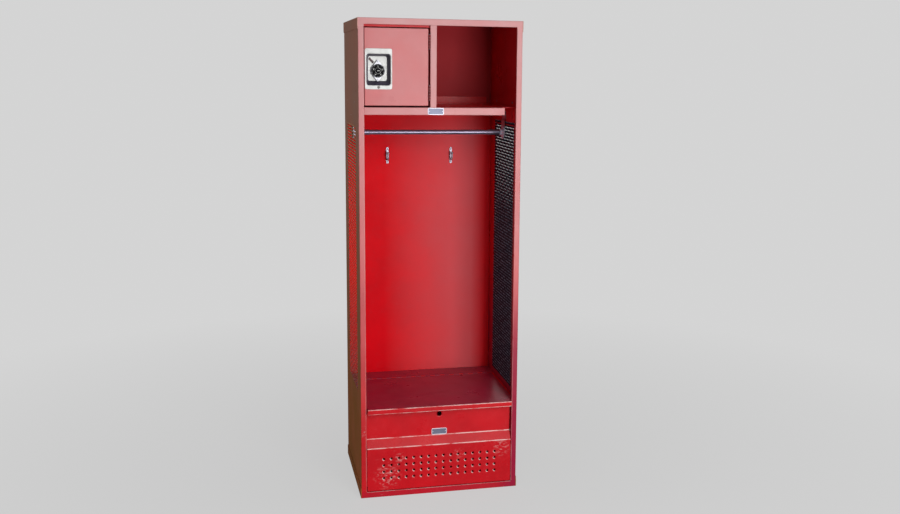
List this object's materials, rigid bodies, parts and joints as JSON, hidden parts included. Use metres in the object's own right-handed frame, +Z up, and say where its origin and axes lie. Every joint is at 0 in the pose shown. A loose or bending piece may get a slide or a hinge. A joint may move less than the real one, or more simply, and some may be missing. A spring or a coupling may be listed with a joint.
{
  "type": "open-front athletic locker",
  "caption": "Tall open-front steel locker with mesh sides, lift-up foot-locker seat, coat rod, shelf and a small lock box with a recessed combination lock.",
  "frame": {"origin": "on the floor, in the middle of the overall box", "axes": "+X to the right as seen from the front, +Y to the back, +Z up"},
  "size_m": [0.614, 0.518, 1.81],
  "materials": {
    "red_enamel": "baked gloss enamel, worn at edges",
    "stainless": "drawn stainless, satin",
    "chrome": "bright plated",
    "zinc_plate": "zinc plated",
    "satin_plate": "satin, bare",
    "dial_black": "black dial with white marks",
    "lock_body": "dark grey, satin",
    "lever_black": "dark, satin",
    "brass_plug": "dull"
  },
  "bodies": {
    "cabinet": {"top_cap": "red_enamel", "bottom_pan": "red_enamel", "left_side_panel": "red_enamel", "right_side_panel": "red_enamel", "left_mesh": "red_enamel", "right_mesh": "red_enamel", "back_panel": "red_enamel", "upper_shelf": "red_enamel", "divider": "red_enamel", "door_header": "red_enamel", "foot_locker_front": "red_enamel", "front_clips": "red_enamel", "rear_seat_strip": "red_enamel", "left_seat_ledge": "red_enamel", "right_seat_ledge": "red_enamel", "frame_hinge_leaves": "red_enamel", "door_hinge_pins": "zinc_plate", "seat_hinge_fixed_leaf": "red_enamel", "seat_hinge_pin": "zinc_plate", "coat_rod": "chrome", "left_rod_socket": "chrome", "right_rod_socket": "chrome", "left_rod_bracket": "zinc_plate", "right_rod_bracket": "zinc_plate", "left_coat_hook": "zinc_plate", "right_coat_hook": "zinc_plate", "shelf_plate": "satin_plate", "bench_plate": "satin_plate", "latch_strike": "zinc_plate", "shelf_bolts": "zinc_plate", "bracket_bolts": "zinc_plate"},
    "box_door": {"door_panel": "red_enamel", "door_hinge_leaves": "red_enamel", "lock_pocket": "stainless", "lock_escutcheon": "chrome", "lock_case": "lock_body", "key_cylinder": "lock_body"},
    "dial": {"lock_dial": "dial_black"},
    "lever": {"turn_lever": "lever_black"},
    "bolt": {"latch_bolt": "zinc_plate"},
    "plug": {"key_plug": "brass_plug"},
    "seat": {"seat_lid": "red_enamel", "seat_hinge_lid_leaf": "red_enamel", "lid_stiffener": "red_enamel"}
  },
  "joints": [
    {"name": "door_swing", "type": "hinge", "parent": "cabinet", "child": "box_door", "pos_m": [-0.0455, -0.2435, 1.636], "axis": [0, 0, 1], "range_deg": [0, 170]},
    {"name": "dial_spin", "type": "hinge", "parent": "box_door", "child": "dial", "pos_m": [-0.2315, -0.222, 1.622], "axis": [0, -1, 0], "continuous": true},
    {"name": "lever_turn", "type": "hinge", "parent": "box_door", "child": "lever", "pos_m": [-0.2605, -0.214, 1.66475], "axis": [0, 1, 0], "range_deg": [0, 40]},
    {"name": "bolt_slide", "type": "slide", "parent": "box_door", "child": "bolt", "axis": [-1, 0, 0], "range_m": [0, 0.013]},
    {"name": "key_turn", "type": "hinge", "parent": "box_door", "child": "plug", "pos_m": [-0.2315, -0.241, 1.56275], "axis": [0, -1, 0], "range_deg": [0, 90]},
    {"name": "seat_lift", "type": "hinge", "parent": "cabinet", "child": "seat", "pos_m": [0, 0.152, 0.3545], "axis": [-1, 0, 0], "range_deg": [0, 102]}
  ],
  "couplings": [
    {"joint": "lever_turn", "follows": "bolt_slide", "rad_per_m": 53.7}
  ]
}
